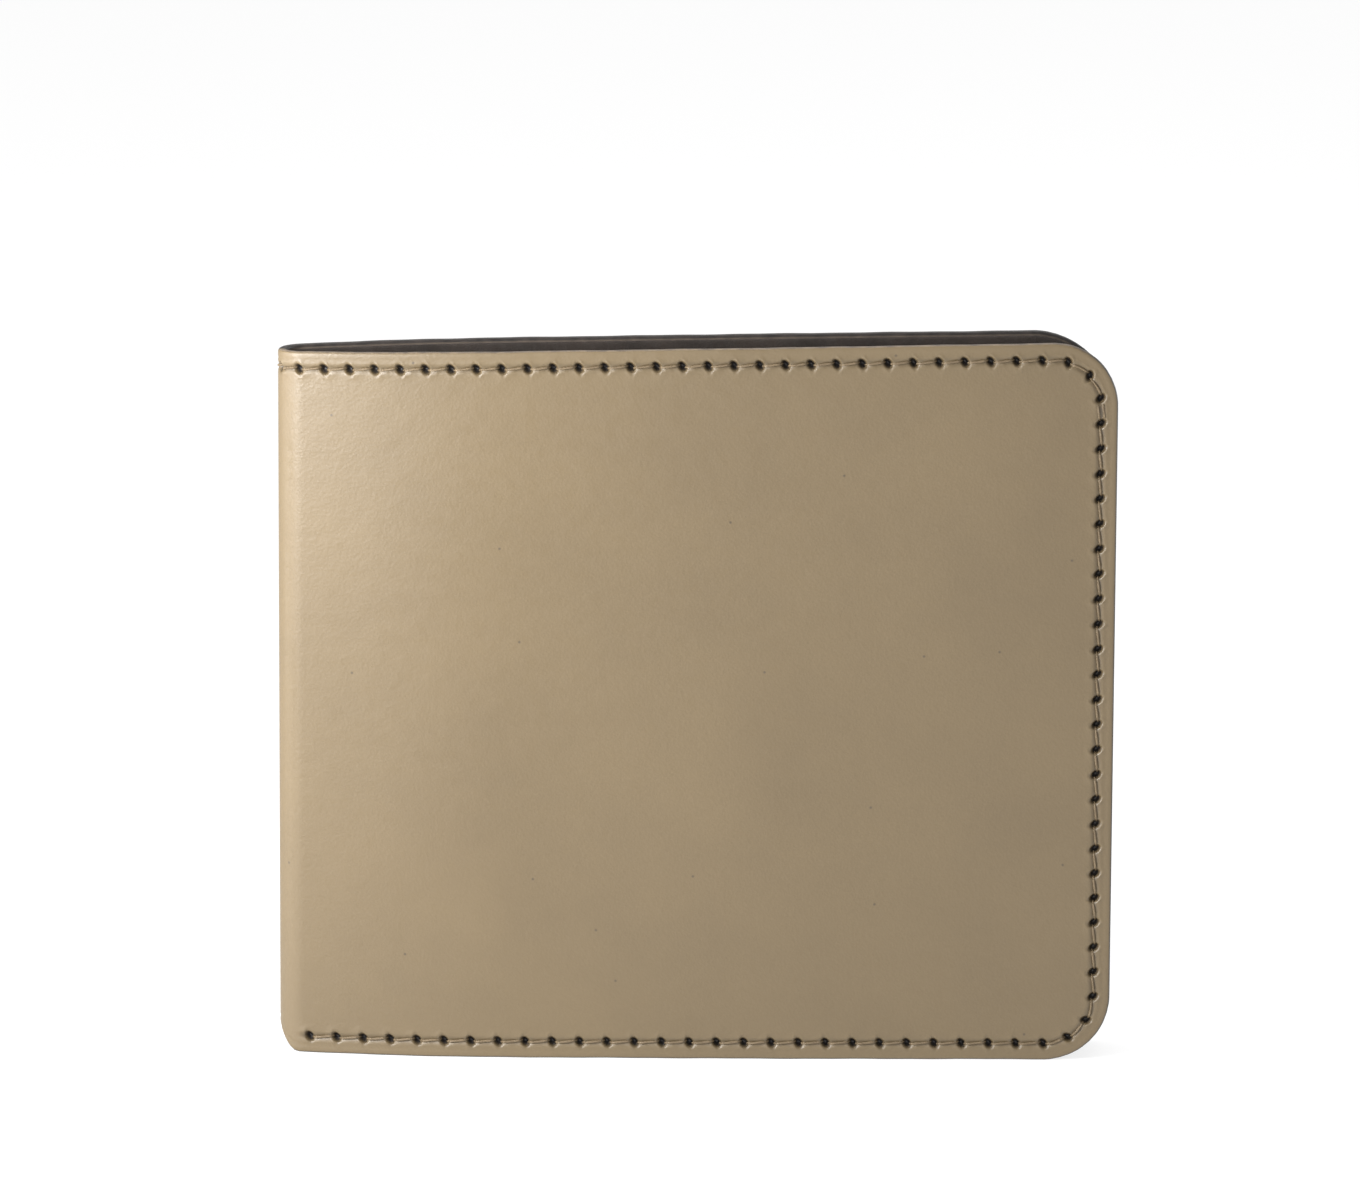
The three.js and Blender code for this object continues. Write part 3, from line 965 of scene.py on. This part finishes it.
def edge_material(name, light, dark, rough):
    """Cut or painted edge of leather, mottled and slightly rough, darkened by painted shade where
    marked.
    """
    shader = Shader(name)
    patch = shader.remap(shader.noise(1.6), 0.35, 0.7)
    colour = shader.mix(patch, dark, light)
    worn = shader.remap(shader.noise(0.5), 0.55, 0.8)
    colour = shader.mix(shader.math("MULTIPLY", worn, 0.4), colour, light)
    # Painted shade on the edge, from the per-vertex shade attribute
    colour = shader.mix(shader.painted_shade(), colour, EDGE_SHADE_COLOUR)
    shader.link(colour, shader.surface.inputs["Base Color"])
    roughness = shader.remap(shader.noise(0.8), 0.3, 0.7, rough - 0.1, rough + 0.1)
    shader.link(roughness, shader.surface.inputs["Roughness"])
    normal = shader.bump(shader.noise(0.5), 0.06, 0.6)
    shader.link(normal, shader.surface.inputs["Normal"])
    return shader.material


def thread_material():
    shader = Shader("waxed_thread")
    patch = shader.remap(shader.noise(2.2), 0.3, 0.7)
    colour = shader.mix(patch, (0.14, 0.10, 0.056), (0.18, 0.13, 0.074))
    fibre = shader.remap(shader.noise(0.12, 2.0), 0.3, 0.75)
    colour = shader.mix(shader.math("MULTIPLY", fibre, 0.4), colour, (0.13, 0.092, 0.05))
    shader.link(colour, shader.surface.inputs["Base Color"])
    roughness = shader.remap(shader.noise(0.4), 0.3, 0.7, 0.5, 0.72)
    shader.link(roughness, shader.surface.inputs["Roughness"])
    normal = shader.bump(shader.noise(0.1, 2.0), 0.03, 0.6)
    shader.link(normal, shader.surface.inputs["Normal"])
    return shader.material


def cloth_material():
    shader = Shader("lining_cloth")
    patch = shader.remap(shader.noise(6), 0.3, 0.7)
    colour = shader.mix(patch, (0.016, 0.011, 0.008), (0.03, 0.021, 0.016))
    shader.link(colour, shader.surface.inputs["Base Color"])
    roughness = shader.remap(shader.noise(1.0), 0.3, 0.7, 0.75, 0.9)
    shader.link(roughness, shader.surface.inputs["Roughness"])
    normal = shader.bump(shader.cells(0.3), 0.05, 0.7)
    shader.link(normal, shader.surface.inputs["Normal"])
    return shader.material


cover_leather = leather_material(
    "cover_leather", (0.154, 0.106, 0.046), (0.135, 0.092, 0.039), (0.012, 0.008, 0.006), 0.5, 0.5, 0.95,
)
inner_leather = leather_material(
    "inner_leather", (0.05, 0.031, 0.022), (0.032, 0.02, 0.014), (0.01, 0.007, 0.005), 0.55, 0.6, 0.3,
)
edge_paint = edge_material("edge_paint", (0.03, 0.022, 0.018), (0.012, 0.009, 0.007), 0.45)
worn_edge = edge_material("worn_edge", (0.23, 0.175, 0.115), (0.10, 0.073, 0.05), 0.5)
flesh_side = edge_material("flesh_side", (0.10, 0.078, 0.06), (0.06, 0.046, 0.036), 0.85)
inner_edge = edge_material("inner_edge", (0.05, 0.034, 0.025), (0.018, 0.012, 0.009), 0.5)
waxed_thread = thread_material()
lining_cloth = cloth_material()


# ---------------------------------------------------------------- assembly


def dress(piece, side, slot, *nodes):
    """Bakes a piece's placement into its mesh and hides the CAD parts that it stands for."""
    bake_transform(piece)
    if nodes:
        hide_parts(*nodes)


dress(cover_half(1), 1, "cover_leather", "cover_back", "spine")
dress(cover_half(-1), -1, "cover_leather", "cover_front")
dress(lining_half(1), 1, "lining", "lining_back", "spine_lining")
dress(lining_half(-1), -1, "lining", "lining_front")
dress(outer_seam(1), 1, "thread", "seam_back")
dress(outer_seam(-1), -1, "thread", "seam_front", "spine_seam")

for side in (1, -1):
    dress(inner_seam(side), side, "thread")
    for piece, nodes in inner_half(side):
        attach(piece, f"{LABELS[side]}_half")
        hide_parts(*nodes)


# ---------------------------------------------------------------- floor, light and camera

# Sizes and places here are in metres
FLOOR_GLOW = 0.75
FLOOR_GREY = 0.3
FLOOR_HALF_SIZE = 6.0
WORLD_STRENGTH = 0.6
LIGHT_AIM = Vector((0, 0, 0.05))

# Each light: name, place, diameter and power in watts
LIGHTS = [
    ("window", Vector((-0.38, -0.26, 0.18)), 0.5, 1.9),
    ("lamp", Vector((-0.13, -0.11, 0.12)), 0.06, 0.36),
    ("side", Vector((-0.45, 0.0, 0.10)), 0.3, 0.8),
    ("top", Vector((0.1, 0.3, 1.1)), 0.8, 4.0),
    ("open_side", Vector((0.42, 0.16, 0.16)), 0.4, 0.9),
]


def floor_plane():
    size = FLOOR_HALF_SIZE
    mesh = bpy.data.meshes.new("floor")
    corners = [(-size, -size, 0), (size, -size, 0), (size, size, 0), (-size, size, 0)]
    mesh.from_pydata(corners, [], [(0, 1, 2, 3)])
    floor = bpy.data.objects.new("floor", mesh)
    bpy.context.scene.collection.objects.link(floor)
    paint = bpy.data.materials.new("floor_paint")
    paint.use_nodes = True
    surface = paint.node_tree.nodes["Principled BSDF"]
    surface.inputs["Base Color"].default_value = (FLOOR_GREY, FLOOR_GREY, FLOOR_GREY, 1)
    surface.inputs["Roughness"].default_value = 0.9
    surface.inputs["Specular IOR Level"].default_value = 0.1
    surface.inputs["Emission Color"].default_value = (1, 1, 1, 1)
    surface.inputs["Emission Strength"].default_value = FLOOR_GLOW
    mesh.materials.append(paint)


def soft_light(name, place, size, power):
    data = bpy.data.lights.new(name, "AREA")
    data.shape = "DISK"
    data.size = size
    data.energy = power
    lamp = bpy.data.objects.new(name, data)
    lamp.location = place
    lamp.rotation_euler = (LIGHT_AIM - lamp.location).to_track_quat("-Z", "Y").to_euler()
    lamp.visible_camera = False
    bpy.context.scene.collection.objects.link(lamp)


def studio():
    world = bpy.data.worlds.new("studio")
    world.use_nodes = True
    background = world.node_tree.nodes["Background"]
    background.inputs["Color"].default_value = (1, 1, 1, 1)
    background.inputs["Strength"].default_value = WORLD_STRENGTH
    scene = bpy.context.scene
    scene.world = world
    scene.view_settings.view_transform = "Standard"
    scene.view_settings.look = "None"
    for name, place, size, power in LIGHTS:
        soft_light(name, place, size, power)


CAMERA_DISTANCE = 1.2
CAMERA_ELEVATION = math.radians(11.7)
CAMERA_ROLL = math.radians(0.3)
CAMERA_LENS = 232       # millimetres, as is the sensor's width
SENSOR_WIDTH = 36
WALLET_MIDDLE = Vector((0, 0, 0.0495))
CAMERA_AIM = Vector((-0.0022, 0.0, 0.0629))


def camera():
    data = bpy.data.cameras.new("camera")
    data.lens = CAMERA_LENS
    data.sensor_width = SENSOR_WIDTH
    view = bpy.data.objects.new("camera", data)
    back = Vector((0, -math.cos(CAMERA_ELEVATION), math.sin(CAMERA_ELEVATION)))
    view.location = WALLET_MIDDLE + back * CAMERA_DISTANCE
    view.rotation_euler = (CAMERA_AIM - view.location).to_track_quat("-Z", "Y").to_euler()
    view.rotation_euler.rotate_axis("Z", CAMERA_ROLL)
    bpy.context.scene.collection.objects.link(view)
    bpy.context.scene.camera = view


floor_plane()
studio()
camera()
